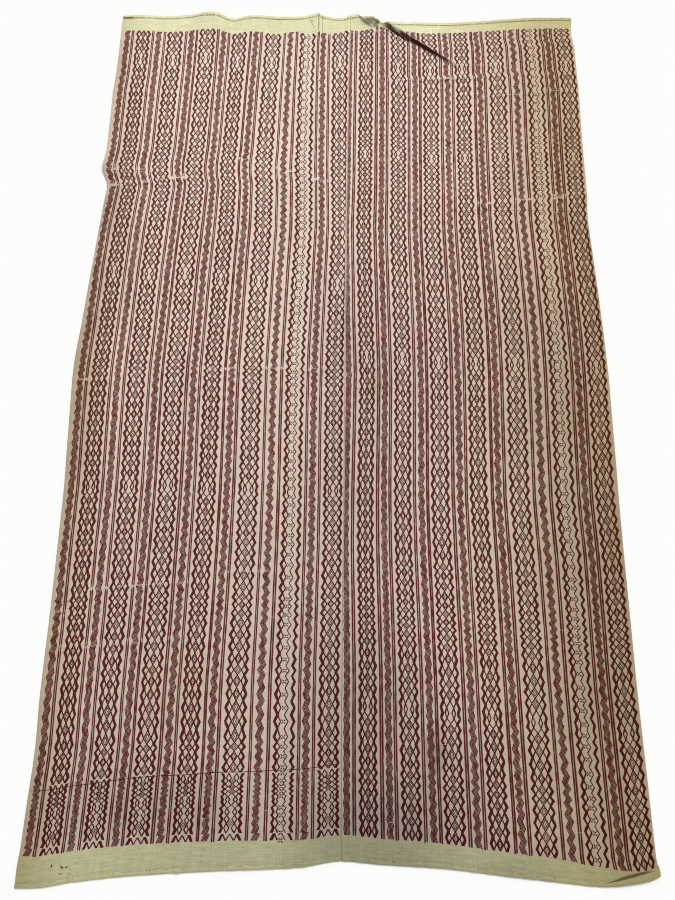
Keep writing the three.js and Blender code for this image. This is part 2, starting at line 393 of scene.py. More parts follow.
def to_weaver(panel, across, along):
    """Weaver's coordinates in mm, for shares across and along a panel."""
    from_far = PANEL_LONG * (1 - along)
    warp = across * PANEL_WIDE
    for _ in range(WEAVER_ROUNDS):
        warp = across * PANEL_WIDE - drift(panel, warp, from_far)
    level = PANEL_LONG * along
    for _ in range(WEAVER_ROUNDS):
        level = PANEL_LONG * along + row_drop(panel, warp, PANEL_LONG - level)
    near = along_table(PLAIN_NEAR[panel], warp)
    far = along_table(PLAIN_FAR[panel], warp)
    return warp, (level - near) / (PANEL_LONG - near - far) * PATTERN_LONG


there_and_back = to_weaver("left", *to_shares("left", np.array(200.0), np.array(900.0)))
print("weaver's coordinates come back as", [round(float(v), 1) for v in there_and_back])

# %% Points on the face of the cloth
EDGE_ROUND_MM = 3.0
SELVEDGE_SHARE = 0.45
# Half the step, in mm, over which the slope of the folds is measured.
NUDGE = 0.5


def raise_from_floor(x, y, height):
    """Points that stand off the folded underside by height, along its normal."""
    z, lean_x, lean_y = lift(x, y)
    slope_x = (lift(x + NUDGE, y)[0] - lift(x - NUDGE, y)[0]) / (2 * NUDGE)
    slope_y = (lift(x, y + NUDGE)[0] - lift(x, y - NUDGE)[0]) / (2 * NUDGE)
    size = np.sqrt(slope_x**2 + slope_y**2 + 1)
    px = x + lean_x - slope_x * height / size
    py = y + lean_y - slope_y * height / size
    return np.stack((px, py, z + height / size), axis=-1)


def edge_rounding(panel, across):
    """Share of the thickness that is left beside the selvedges."""
    from_side = np.minimum(across, 1 - across) * PANEL_WIDE
    t = np.clip(from_side / EDGE_ROUND_MM, 0, 1)
    return SELVEDGE_SHARE + (1 - SELVEDGE_SHARE) * np.sqrt(1 - (1 - t) ** 2)


crest = raise_from_floor(*ON_THE_PLEAT, CLOTH_THICK)[0]
print("a point on the pleat's crest, in mm:", [round(float(v), 1) for v in crest])

# %% Lay out the rows and columns of a sheet
# Stretches of rows, as (share of the way from hem to hem, rows of cells up to there).
ROW_STRETCHES = [(0.0, 0), (0.90, 268), (0.996, 62), (1.0, 4)]
# Stretches of columns, as (share across, columns of cells up to there).
COLUMN_STRETCHES = {
    "left": [(0.0, 0), (0.012, 4), (0.36, 34), (0.56, 28), (0.80, 22), (0.988, 34), (1.0, 4)],
    "right": [(0.0, 0), (0.012, 4), (0.54, 82), (0.988, 38), (1.0, 4)],
}
# Where the even rows begin, as a share of the hem's width.
HEM_END = 1.12
# What each panel's finished grid leaves behind, for the ribbons that are laid on it.
grids = {}


def spread(stretches):
    """Shares at which a table of stretches puts its lines."""
    out = [stretches[0][0]]
    for (start, _), (end, cells) in zip(stretches, stretches[1:]):
        out += [start + (end - start) * (i + 1) / cells for i in range(cells)]
    return np.array(out)


def sheet_points(panel):
    """Underside, face and shares of every grid point of a panel."""
    across = spread(COLUMN_STRETCHES[panel])[None, :]
    middle_rows = spread(ROW_STRETCHES)
    profile = np.array(HEM_PROFILE)
    hem_rows = len(profile)
    rows = hem_rows * 2 + len(middle_rows)
    along = np.linspace(0, 1, rows)[:, None] + 0 * across
    for _ in range(SETTLING_ROUNDS):
        x, y, long = plan(panel, across, along)
        near_wide = hem_size(x, True)[0]
        far_wide = hem_size(x, False)[0]
        start = HEM_END * near_wide / long
        end = 1 - HEM_END * far_wide / long
        along[:hem_rows] = (profile[:, :1] * near_wide[:hem_rows]) / long[:hem_rows]
        mid = slice(hem_rows, rows - hem_rows)
        along[mid] = start[mid] + (end[mid] - start[mid]) * middle_rows[:, None]
        last = slice(rows - hem_rows, rows)
        along[last] = 1 - (profile[::-1, :1] * far_wide[last]) / long[last]
    x, y, _ = plan(panel, across, along)
    thick = np.full_like(x, CLOTH_THICK)
    overhang = np.zeros_like(x)
    for block, near, order in ((slice(0, hem_rows), True, 1), (last, False, -1)):
        _, high, lip = hem_size(x[block], near)
        thick[block] = np.maximum(high * profile[::order, 1:2], CLOTH_THICK * THINNEST_SHARE)
        overhang[block] = order * lip * profile[::order, 2:3]
    thick = thick * edge_rounding(panel, across)
    under = raise_from_floor(x, y, np.zeros_like(x))
    face = raise_from_floor(x, y, thick)
    face[..., 1] += overhang
    warp, woven = to_weaver(panel, across + 0 * along, along)
    grids[panel] = {"across": across[0], "along": along, "face": face,
                    "hem_rows": hem_rows, "shares": middle_rows}
    return under, face, warp, woven


def on_face(panel, warp, woven, rise=0.0):
    """Points on the sheet's own cells, or a little above them, for weaver's coordinates."""
    grid = grids[panel]
    across, along = to_shares(panel, warp, woven)
    column = np.interp(across, grid["across"], np.arange(len(grid["across"])))
    first, last = grid["hem_rows"], grid["along"].shape[0] - grid["hem_rows"] - 1
    whole = np.clip(column.astype(int), 0, len(grid["across"]) - 2)
    start, end = grid["along"][first, whole], grid["along"][last, whole]
    share = np.clip((along - start) / (end - start), 0, 1)
    row = first + np.interp(share, grid["shares"], np.arange(len(grid["shares"])))
    level = np.clip(row.astype(int), first, last - 1)
    u, v = (column - whole)[..., None], (row - level)[..., None]
    face = grid["face"]
    a, b = face[level, whole], face[level, whole + 1]
    c, d = face[level + 1, whole], face[level + 1, whole + 1]
    place = (a * (1 - u) + b * u) * (1 - v) + (c * (1 - u) + d * u) * v
    up = np.cross((b - a) * (1 - v) + (d - c) * v, (c - a) * (1 - u) + (d - b) * u)
    up /= np.linalg.norm(up, axis=-1, keepdims=True)
    return place + up * np.asarray(rise)[..., None]


def set_uv(mesh, name, u, v):
    """A UV map from one u and v for each vertex."""
    layer = mesh.uv_layers.new(name=name)
    index = np.zeros(len(mesh.loops), np.int32)
    mesh.loops.foreach_get("vertex_index", index)
    pairs = np.stack((u[index], v[index]), axis=-1).astype(np.float32)
    layer.data.foreach_set("uv", pairs.ravel())


def mesh_object(name, points_mm, quads, triangles=None, smooth=True):
    """An object from arrays of points, four-sided faces and three-sided ones."""
    triangles = np.zeros((0, 3), int) if triangles is None else triangles
    corners = np.concatenate((quads.ravel(), triangles.ravel())).astype(np.int32)
    starts = np.concatenate((np.arange(len(quads)) * 4,
                             quads.size + np.arange(len(triangles)) * 3)).astype(np.int32)
    mesh = bpy.data.meshes.new(name)
    mesh.vertices.add(len(points_mm))
    mesh.vertices.foreach_set("co", (np.asarray(points_mm) * MM).astype(np.float32).ravel())
    mesh.loops.add(len(corners))
    mesh.loops.foreach_set("vertex_index", corners)
    mesh.polygons.add(len(starts))
    mesh.polygons.foreach_set("loop_start", starts)
    mesh.polygons.foreach_set("use_smooth", np.full(len(starts), smooth))
    mesh.update(calc_edges=True)
    mesh.validate()
    return new_object(name, mesh)


def grid_faces(rows, columns):
    """Quads of a closed sheet: face, underside and the rim round them."""
    number = np.arange(rows * columns).reshape(rows, columns)
    a, b, c, d = number[:-1, :-1], number[:-1, 1:], number[1:, 1:], number[1:, :-1]
    up = np.stack((a, b, c, d), axis=-1).reshape(-1, 4) + rows * columns
    down = np.stack((a, d, c, b), axis=-1).reshape(-1, 4)
    rim = np.concatenate((number[0, :], number[1:, -1], number[-1, -2::-1], number[-2:0:-1, 0]))
    high = rim + rows * columns
    side = np.stack((rim, np.roll(rim, -1), np.roll(high, -1), high), axis=-1)
    return np.concatenate((up, down, side))


# The face takes most of a sheet's map, and the underside the rest, with a margin between.
FACE_SHARE_OF_MAP = 0.80
MAP_MARGIN = 0.01
UNDERSIDE_FROM = FACE_SHARE_OF_MAP + MAP_MARGIN
sheets = {}
for panel in ("left", "right"):
    under, face, warp, woven = sheet_points(panel)
    rows, columns = warp.shape
    points = np.concatenate((under.reshape(-1, 3), face.reshape(-1, 3)))
    sheet = mesh_object("cloth_" + panel, points, grid_faces(rows, columns))
    both_warp = np.tile(warp.ravel(), 2)
    both_woven = np.tile(woven.ravel(), 2)
    set_uv(sheet.data, "weave", both_warp * MM, both_woven * MM)
    share_u = np.tile(np.linspace(0, 1, columns), rows * 2)
    share_v = np.tile(np.linspace(0, 1, rows).repeat(columns), 2)
    on_top = np.repeat([False, True], rows * columns)
    bake_u = np.where(on_top, share_u * FACE_SHARE_OF_MAP,
                      UNDERSIDE_FROM + share_u * (1 - UNDERSIDE_FROM))
    set_uv(sheet.data, "OFBake", bake_u, share_v)
    sheets[panel] = sheet
    print(sheet.name, "has", len(sheet.data.polygons) * 2, "triangles")

# %% [markdown]
# ## The treadling
# The weaver lifts the pattern yarns with a few pattern sheds, used up and down again. One
# number tells which shed is open: 0 where the diamonds close, 1 where they are widest. It
# climbs and falls about every 20 mm, never quite evenly, because a hand beats the weft.
# Every stripe across the panel follows the same number, which is why the rows line up.
# A seeded walk makes the uneven lengths. The left panel's first 110 mm is a charted trial
# strip, as the weaver tried small figures there before settling.

# %% Shed numbers along each panel
MEAN_HALF_MM = 10.4
SHORTEST_HALF_MM, LONGEST_HALF_MM = 6.2, 14.6
# The walk: how much of its stray it keeps, how far it strays in one step, and how often a
# half figure comes out much too short or too long.
STRAY_KEPT, STRAY_MM = 0.72, 1.15
ODD_CHANCE, ODD_FACTORS = 0.05, (0.68, 1.3)
# How often a figure opens less than fully, and by how much.
SHALLOW_CHANCE, SHALLOW_BY = 0.25, 0.12
RUN_GAP_MM = 1.0
# The trial strip: runs of (length in mm, shed number at its end); the first row of a run
# has no length and gives where it starts.
TRIAL_STRIP = [
    [(0, 1.0), (11.0, 0.0)],
    [(0, 1.0), (8.3, 0.3), (7.2, 1.0), (7.2, 0.3), (5.5, 1.0), (5.5, 0.4), (6.5, 1.0),
     (4.5, 0.1), (5.5, 0.75), (4.0, 0.45), (5.0, 0.95), (4.0, 0.15), (4.0, 0.9), (4.0, 0.1),
     (4.0, 0.85), (4.5, 0.1), (5.0, 0.85), (5.0, 0.3), (8.0, 1.0)],
]
# Places in mm of weaving where the weaver lost count and turned back too soon.
LOST_COUNTS = {"left": [640, 1105, 1682], "right": [208, 905, 1420, 1660]}
LOST_SHED = 0.45
WALK_SEED = {"left": 11, "right": 7}
SHED_SEED = {"left": 111, "right": 107}


def uneven_halves(panel, long):
    """Lengths of the half figures: a seeded walk that never strays far."""
    walk = random.Random(WALK_SEED[panel])
    stray = 0.0
    out = []
    while sum(out) < long:
        stray = STRAY_KEPT * stray + walk.gauss(0, STRAY_MM)
        half = MEAN_HALF_MM + stray
        if walk.random() < ODD_CHANCE:
            half *= walk.choice(ODD_FACTORS)
        out.append(min(max(half, SHORTEST_HALF_MM), LONGEST_HALF_MM))
    return np.array(out)


def treadle(panel):
    """Runs of (mm of weaving, shed number), from the near end to the far one."""
    runs = []
    at = 0.0
    if panel == "left":
        for strip in TRIAL_STRIP:
            run = []
            for length, shed in strip:
                at += length
                run.append((at, shed))
            runs.append(run)
            at += RUN_GAP_MM
    halves = uneven_halves(panel, PATTERN_LONG - at)
    if len(halves) % 2:
        halves = halves[:-1]
    halves *= (PATTERN_LONG - at) / halves.sum()
    walk = random.Random(SHED_SEED[panel])
    stops = list(LOST_COUNTS[panel])
    run = [(at, 0.0)]
    for i, half in enumerate(halves):
        at += half
        opening = i % 2 == 0
        shed = 1.0 - SHALLOW_BY * (walk.random() < SHALLOW_CHANCE) if opening else 0.0
        if stops and at > stops[0] and not opening:
            stops.pop(0)
            shed = LOST_SHED
        run.append((at, shed))
    runs.append(run)
    return runs


treadlings = {panel: treadle(panel) for panel in ("left", "right")}
print("half figures:", {p: sum(len(r) - 1 for r in t) for p, t in treadlings.items()})

# %% [markdown]
# ## The pattern floats
# A pattern yarn that floats on the face looks like a thin raised ribbon. Each line of the
# pattern is such a ribbon, three points wide: two edges sunk a hair into the cloth and a
# raised middle. A ribbon keeps its width across the warp, because that is how many yarns
# it takes. Modelling the lines keeps them crisp from every side, where a painted image
# would blur.

# %% A builder for ribbons
RELIEF_MM = 0.35
SUNK_MM = -0.015
THIN_MM = 2.9
THICK_MM = 5.8
# The longest step between two places of a ribbon, which is shorter among the far folds.
STATION_MM = 5.5
FAR_STATION_MM = 2.8
FAR_FOLDS_FROM = 1560.0
# Share by which a ribbon's width varies.
KNOBBLY = 0.18


class Ribbons:
    """Collects ribbons of one panel and joins them into one mesh."""

    def __init__(self, panel, seed):
        self.panel = panel
        self.points = []
        self.quads = []
        self.caps = []
        self.warps = []
        self.wovens = []
        self.count = 0
        self.hand = random.Random(seed)

    def add(self, warp, woven, width, weftwise=False):
        """A ribbon through places in weaver's coordinates."""
        warp, woven = np.asarray(warp, float), np.asarray(woven, float)
        n = len(warp)
        knobs = np.array([self.hand.uniform(1 - KNOBBLY, 1 + KNOBBLY) for _ in range(n)])
        half = 0.5 * width * knobs
        off = np.stack((-half, 0 * half, half), axis=-1)
        side_warp = warp[:, None] + (0 * off if weftwise else off)
        side_woven = woven[:, None] + (-off if weftwise else 0 * off)
        rise = np.array([SUNK_MM, RELIEF_MM, SUNK_MM])[None, :] + 0 * off
        placed = on_face(self.panel, side_warp, side_woven, rise)
        self.points.append(placed.reshape(-1, 3))
        self.warps.append(side_warp.ravel())
        self.wovens.append(side_woven.ravel())
        first = self.count + 3 * np.arange(n - 1)
        left, mid, right = first, first + 1, first + 2
        quads = [
            (left, mid, mid + 3, left + 3),
            (mid, right, right + 3, mid + 3),
            (left, left + 3, right + 3, right),
        ]
        self.quads += [np.stack(quad, axis=-1) for quad in quads]
        end = self.count + 3 * (n - 1)
        self.caps.append((self.count, self.count + 2, self.count + 1))
        self.caps.append((end, end + 1, end + 2))
        self.count += 3 * n

    def build(self, name):
        """The ribbons as one piece, with its two UV maps."""
        piece = mesh_object(name, np.concatenate(self.points), np.concatenate(self.quads),
                            np.array(self.caps), smooth=False)
        warp, woven = np.concatenate(self.warps), np.concatenate(self.wovens)
        set_uv(piece.data, "weave", warp * MM, woven * MM)
        inside = 1 - 2 * MAP_MARGIN
        set_uv(piece.data, "OFBake", warp / PANEL_WIDE * inside + MAP_MARGIN,
               np.clip(woven / PATTERN_LONG, 0, 1) * inside + MAP_MARGIN)
        print(name, "has", len(piece.data.loops) - 2 * len(piece.data.polygons), "triangles")
        return piece


def stations(run):
    """Places along a run: every turn of the figure, and enough between to follow folds."""
    at, shed = [run[0][0]], [run[0][1]]
    for (start, a), (end, b) in zip(run, run[1:]):
        apart = FAR_STATION_MM if end > FAR_FOLDS_FROM else STATION_MM
        pieces = max(1, round((end - start) / apart))
        for k in range(1, pieces + 1):
            at.append(start + (end - start) * k / pieces)
            shed.append(a + (b - a) * k / pieces)
    return np.array(at), np.array(shed)


print("ribbon height above the cloth:", RELIEF_MM, "mm")

# %% [markdown]
# ## The stripes
# Across each panel, bands of diamonds take turns with bands of five-line zigzags, and a
# pair of plain lines parts each from the next. The table holds one row for each stripe and
# where it starts and stops on each panel. In a diamond band the six lines cross and part
# as the shed number goes up and down, which draws a lattice of lozenges inside two thick
# outer zigzags.

# %% Table of the stripes
# Each row: (kind, from and to on the left panel, from and to on the right panel), in mm.
STRIPES = [
    ("zigzag", 6.5, 22, 2.6, 16), ("pair", 23.7, 30, 19.4, 26.5),
    ("diamond", 35.5, 69, 31.6, 65.8), ("pair", 72.4, 78.4, 70.2, 77.8),
    ("zigzag", 81.6, 96, 80.3, 94.7), ("pair", 100, 106, 96.4, 103.3),
    ("diamond", 109, 145.5, 108, 144.7), ("pair", 150, 156, 147.9, 154.7),
    ("zigzag", 158.7, 173.7, 158, 173), ("solid", 175.8, 181.6, 174.7, 181.6),
    ("diamond", 185, 223.7, 185, 223), ("pair", 226.8, 233.7, 226.4, 233.9),
    ("zigzag", 236, 252, 236, 252), ("pair", 254, 260, 253.6, 260.3),
    ("diamond", 264, 300, 264, 300), ("solid", 305.5, 311.6, 306, 313),
    ("zigzag", 314, 330, 314, 330), ("pair", 331.8, 338.5, 331.4, 338.8),
    ("diamond", 344.5, 385, 344.5, 385), ("pair", 391, 397, 390.6, 397.3),
    ("zigzag", 401, 418, 401, 418), ("pair", 423, 430, 422.7, 430.3),
    ("crosses", 435, 474.5, 435, 474.5), ("pair", 479, 485, 478.7, 485.4),
    ("zigzag", 487, 503, 487, 503), ("pair", 506, 512, 503.7, 511.2),
    ("diamond", 517, 556, 515, 555),
]
BAND_INSET_MM = 1.6
# Share of a band's width from its side to the place where its outer two lines cross.
CROSSING_SHARE = 0.155
# Shed numbers from which a figure counts as open, and up to which it counts as closed.
OPEN_FROM, CLOSED_TO = 0.8, 0.3
# Numbers of the two thick zigzags among a lattice's six lines.
OUTER_LINES = (0, 5)


def diamond_lines(shed):
    """Shares of a band's width for its six lattice lines."""
    half = [CROSSING_SHARE * (1 - shed), CROSSING_SHARE * (1 + shed),
            0.5 - (0.5 - 2 * CROSSING_SHARE) * shed]
    return half + [1 - share for share in reversed(half)]


def weave_diamonds(ribbons, start, end, runs):
    """A band of six lines that cross and part, with the two outer ones thick."""
    start, end = start + BAND_INSET_MM, end - BAND_INSET_MM
    wide = end - start
    for run in runs:
        at, shed = stations(run)
        for line, share in enumerate(diamond_lines(shed)):
            thick = THICK_MM if line in OUTER_LINES else THIN_MM
            ribbons.add(start + wide * share, at, thick)
        weave_dots(ribbons, start, wide, run)


# The dot's width at its ends and middle. The lozenge round it takes these shares of the
# middle diamond's width and length.
DOT_WIDTHS_MM = (1.0, 2.1, 1.0)
DOT_LONG_MM = 3.0
NEST_SHARE_WIDE, NEST_SHARE_LONG = 0.54, 0.6
NEST_LINE_MM = 1.8


def weave_dots(ribbons, start, wide, run):
    """A small lozenge with a dot in it, inside each open middle diamond."""
    middle = start + wide / 2
    for before, top, after in zip(run, run[1:], run[2:]):
        if top[1] < OPEN_FROM or max(before[1], after[1]) > CLOSED_TO:
            continue
        at = top[0] + DOT_LONG_MM * np.array([-0.5, 0.0, 0.5])
        ribbons.add(np.full(3, middle), at, np.array(DOT_WIDTHS_MM))
        low = top[0] - NEST_SHARE_LONG * (top[0] - before[0])
        high = top[0] + NEST_SHARE_LONG * (after[0] - top[0])
        out = NEST_SHARE_WIDE * wide * (0.5 - 2 * CROSSING_SHARE)
        for side in (-out, out):
            warp = middle + np.array([0.0, side, 0.0])
            ribbons.add(warp, np.array([low, top[0], high]), NEST_LINE_MM)


# The odd band's lines, as (number in the lattice, width in mm).
CROSS_BAND_LINES = ((0, THICK_MM), (1, 3.1), (3, 2.5), (5, THICK_MM))
# Where the crosses stand across the band, and how far they stray from there.
CROSS_SHARE, CROSS_STRAY_MM = 0.45, 0.8
# A cross is four short dashes: where each starts and stops from its middle, and its width.
CROSS_FROM_MM, CROSS_TO_MM = 0.8, 3.7
CROSS_DASH_MM = 2.8


def weave_crosses(ribbons, start, end, runs):
    """The odd band: one side closes into diamonds, and small crosses fill its middle."""
    start, end = start + BAND_INSET_MM, end - BAND_INSET_MM
    wide = end - start
    for run in runs:
        at, shed = stations(run)
        lines = diamond_lines(shed)
        for line, thick in CROSS_BAND_LINES:
            ribbons.add(start + wide * lines[line], at, thick)
        for turn, open_share in run:
            if open_share < OPEN_FROM:
                continue
            stray = ribbons.hand.uniform(-CROSS_STRAY_MM, CROSS_STRAY_MM)
            middle = start + wide * CROSS_SHARE + stray
            for side in (-1, 1):
                for way in (-1, 1):
                    reach = np.array([CROSS_FROM_MM, CROSS_TO_MM])
                    ribbons.add(middle + side * reach, turn + way * reach, CROSS_DASH_MM)


ZIGZAG_LINES = 5
ZIGZAG_PITCH = 2.3
ZIGZAG_MM = 2.07


def weave_zigzags(ribbons, start, end, runs):
    """A band of parallel lines that swing from side to side with the shed number."""
    swing = (end - start) - (ZIGZAG_LINES - 1) * ZIGZAG_PITCH - ZIGZAG_MM
    at, shed = stations([place for run in runs for place in run])
    for line in range(ZIGZAG_LINES):
        warp = start + ZIGZAG_MM / 2 + line * ZIGZAG_PITCH + swing * (1 - shed)
        ribbons.add(warp, at, ZIGZAG_MM)


# What each plain line gives up to the gap in the middle of its stripe.
SOLID_GAP_MM, PAIR_GAP_MM = 0.08, 0.3
PLAIN_STATION_MM = 9.0
PLAIN_FAR_STATIONS = 84
RAGGED_END_MM = 1.4


def weave_plain(ribbons, start, end, solid):
    """Two straight lines, nearly touching where the stripe is a solid one."""
    width = (end - start) / 2 - (SOLID_GAP_MM if solid else PAIR_GAP_MM)
    for warp in (start + width / 2, end - width / 2):
        low = ribbons.hand.uniform(-RAGGED_END_MM, RAGGED_END_MM / 2)
        high = PATTERN_LONG + ribbons.hand.uniform(-RAGGED_END_MM / 2, RAGGED_END_MM)
        near = np.arange(low, FAR_FOLDS_FROM, PLAIN_STATION_MM)
        far = np.linspace(FAR_FOLDS_FROM, high, PLAIN_FAR_STATIONS)
        at = np.concatenate((near, far))
        ribbons.add(np.full(len(at), warp), at, width)


# %% Weave both panels
patterns = {"left": [], "right": []}
for panel, first_column in (("left", 1), ("right", 3)):
    lattice = Ribbons(panel, seed=21)
    stripes = Ribbons(panel, seed=22)
    runs = treadlings[panel]
    for row in STRIPES:
        kind, start, end = row[0], row[first_column], row[first_column + 1]
        if kind == "diamond":
            weave_diamonds(lattice, start, end, runs)
        elif kind == "crosses":
            weave_crosses(lattice, start, end, runs)
        elif kind == "zigzag":
            weave_zigzags(stripes, start, end, runs)
        else:
            weave_plain(stripes, start, end, kind == "solid")
    patterns[panel] = [lattice.build("diamond_bands_" + panel),
                       stripes.build("zigzag_bands_" + panel)]

# %% [markdown]
# ## Slips in the weft
# Handweaving keeps its small slips: a red yarn end carried across a row, and pale weft that
# lies over the pattern for a few millimetres. They are the same ribbons, laid across.

# %% Weft slips
# Red yarn carried across a row: (panel, from x, to x, woven mm at each end, width).
RED_WEFTS = [
    ("left", 4, 556, 102, 117, 1.4),
    ("left", 4, 40, 425, 425, 1.3),
    ("right", 6, 556, 1290, 1288, 0.7),
    ("right", 20, 330, 845, 848, 0.5),
]
RED_STATION_MM = 5.0
SWAY_MM, SWAY_LONG_MM = 0.5, 23.0
PALE_SLIPS = 70
PALE_MM = 0.8
PALE_SHORTEST_MM, PALE_LONGEST_MM = 3.0, 13.0
PALE_FROM_SIDE_MM = 20
PALE_FROM_MM, PALE_TO_MM = 10, PATTERN_LONG * 0.98
PALE_STATIONS = 4
for panel in ("left", "right"):
    red = Ribbons(panel, seed=31)
    for where, from_x, to_x, from_w, to_w, width in RED_WEFTS:
        if where == panel:
            warp = np.arange(from_x, to_x, RED_STATION_MM)
            sway = SWAY_MM * np.sin(warp / SWAY_LONG_MM)
            red.add(warp, np.interp(warp, (from_x, to_x), (from_w, to_w)) + sway, width,
                    weftwise=True)
    patterns[panel].append(red.build("red_weft_slips_" + panel))
    pale = Ribbons(panel, seed=32)
    for _ in range(PALE_SLIPS):
        long = pale.hand.uniform(PALE_SHORTEST_MM, PALE_LONGEST_MM)
        last_x = PANEL_WIDE - PALE_FROM_SIDE_MM - long
        from_x = pale.hand.uniform(PALE_FROM_SIDE_MM, last_x)
        at = pale.hand.uniform(PALE_FROM_MM, PALE_TO_MM)
        warp = np.linspace(from_x, from_x + long, PALE_STATIONS)
        pale.add(warp, np.full(PALE_STATIONS, at), PALE_MM, weftwise=True)
    patterns[panel].append(pale.build("pale_weft_slips_" + panel))

# %% [markdown]
# ## Colours and shared effects
# Two effects are used by several finishes, so each is a node group with its own inputs. One
# draws the threads of a plain weave. The other gives the stains of an old cloth and painted
# light and shade: a falloff along the cloth, shade in its folds and greyer patches, all from
# its place on the floor. The groups put out heights and masks only, and each finish mixes
# them in its own way.

# %% Node helpers
def srgb(code, alpha=1.0):
    """A colour such as "E8D9C5" as the linear values that a shader takes."""
    parts = [int(code[i:i + 2], 16) / 255 for i in (0, 2, 4)]
    line = [p / 12.92 if p <= 0.04045 else ((p + 0.055) / 1.055) ** 2.4 for p in parts]
    return (*line, alpha)


def feed(tree, socket, value):
    """Link an output socket to an input, or set the input's own value."""
    if isinstance(value, bpy.types.NodeSocket):
        tree.links.new(value, socket)
    else:
        socket.default_value = value


def node(tree, kind, inputs=None, **settings):
    """A new node. Inputs are values, or the output sockets that feed them."""
    made = tree.nodes.new(kind)
    for key, value in settings.items():
        setattr(made, key, value)
    for key, value in (inputs or {}).items():
        feed(tree, made.inputs[key], value)
    return made


def math_node(tree, operation, a, b=0.0):
    """One sum of two numbers or sockets."""
    return node(tree, "ShaderNodeMath", {0: a, 1: b}, operation=operation).outputs[0]


# A mix node has sockets for every kind of data. These are the places of the colour ones.
COLOUR_A, COLOUR_B, COLOUR_OUT = 6, 7, 2


def mix_colour(tree, factor, a, b, blend="MIX"):
    """The first colour turned towards the second by a factor, or multiplied by it."""
    made = node(tree, "ShaderNodeMix", {"Factor": factor}, data_type="RGBA", blend_type=blend)
    feed(tree, made.inputs[COLOUR_A], a)
    feed(tree, made.inputs[COLOUR_B], b)
    return made.outputs[COLOUR_OUT]


def ramp(tree, value, low, high, to_low=0.0, to_high=1.0):
    """A smooth step from to_low to to_high as the value goes from low to high."""
    made = node(tree, "ShaderNodeMapRange",
                {"Value": value, "From Min": low, "From Max": high, "To Min": to_low,
                 "To Max": to_high}, interpolation_type="SMOOTHSTEP")
    return made.outputs[0]


def shader_group(name, inputs, outputs):
    """An empty node group with named sockets, and its input and output nodes."""
    tree = bpy.data.node_groups.new(name, "ShaderNodeTree")
    for label, kind, default in inputs:
        socket = tree.interface.new_socket(label, in_out="INPUT", socket_type=kind)
        if default is not None:
            socket.default_value = default
    for label, kind in outputs:
        tree.interface.new_socket(label, in_out="OUTPUT", socket_type=kind)
    return tree, tree.nodes.new("NodeGroupInput"), tree.nodes.new("NodeGroupOutput")


print("light grey as linear values:", [round(v, 2) for v in srgb("CCCCCC")])

# %% The thread group
FLOAT, VECTOR = "NodeSocketFloat", "NodeSocketVector"
# How much the crossings and the round threads raise the surface.
CROSSING_RISE, THREAD_RISE = 0.3, 0.35
# Noise stretched along the warp and along the weft makes uneven threads.
SLUB_STRETCHES = ((30.0, 620.0, 1.0), (620.0, 12.0, 1.0))
weave_group, given, result = shader_group(
    "plain_weave_threads",
    [("Vector", VECTOR, None), ("Warp Pitch", FLOAT, 0.0011), ("Weft Pitch", FLOAT, 0.001)],
    [("Height", FLOAT), ("Tone", FLOAT)],
)
split = node(weave_group, "ShaderNodeSeparateXYZ", {0: given.outputs["Vector"]})
waves = []
for axis, pitch in ((0, "Warp Pitch"), (1, "Weft Pitch")):
    turns = math_node(weave_group, "DIVIDE", split.outputs[axis], given.outputs[pitch])
    angle = math_node(weave_group, "MULTIPLY", turns, math.pi)
    waves.append(math_node(weave_group, "SINE", angle))
crossing = math_node(weave_group, "MULTIPLY", waves[0], waves[1])
round_threads = math_node(
    weave_group, "ADD", math_node(weave_group, "ABSOLUTE", waves[0]),
    math_node(weave_group, "ABSOLUTE", waves[1]))
height = math_node(weave_group, "ADD",
                   math_node(weave_group, "MULTIPLY", crossing, CROSSING_RISE),
                   math_node(weave_group, "MULTIPLY", round_threads, THREAD_RISE))
weave_group.links.new(height, result.inputs["Height"])
slubs = []
for stretch in SLUB_STRETCHES:
    stretched = node(weave_group, "ShaderNodeVectorMath",
                     {0: given.outputs["Vector"], 1: stretch}, operation="MULTIPLY")
    noise = node(weave_group, "ShaderNodeTexNoise",
                 {"Vector": stretched.outputs[0], "Scale": 1.0, "Detail": 2.0})
    slubs.append(noise.outputs[0])
tone = math_node(weave_group, "SUBTRACT", math_node(weave_group, "ADD", *slubs), 1.0)
weave_group.links.new(tone, result.inputs["Tone"])
print("thread group has", len(weave_group.nodes), "nodes")

# %% The soiling and painted shade group
# Soft stains: (x, y, radius across, radius along, strength), in mm on the floor.
STAINS = [
    (75, -28, 26, 34, 0.8), (500, 342, 34, 52, 0.8), (548, 250, 30, 260, 0.8),
    (545, -300, 40, 340, 0.7), (-552, 60, 60, 420, 0.72), (-548, 400, 90, 160, 0.7),
    (-548, 660, 60, 160, 0.35), (-533, 790, 22, 90, 0.75),
    (158, -735, 26, 42, 0.9), (470, -110, 70, 60, 0.4), (-300, -620, 90, 70, 0.25),
    (530, 560, 40, 90, 0.5), (-470, 300, 60, 90, 0.35),
]
# Greyer patches of painted shade, in the same columns, such as the hollow of the V fold at
# the far seam and a painted shadow round the near end of the seam.
PAINTED_GREY_SHADE_PATCHES = [
    (60, -900, 220, 230, 0.42), (165, -735, 34, 60, 0.34), (-170, -930, 330, 150, 0.14),
    (470, -420, 120, 420, 0.12), (340, 0, 330, 260, 0.10), (30, -740, 140, 300, 0.27),
    (-540, 400, 90, 120, 0.12), (66, 920, 22, 17, 0.74),
    (30, -100, 110, 420, 0.13), (265, -930, 115, 60, 0.27),
    (-330, -825, 230, 75, 0.20), (60, -835, 120, 65, 0.22),
]
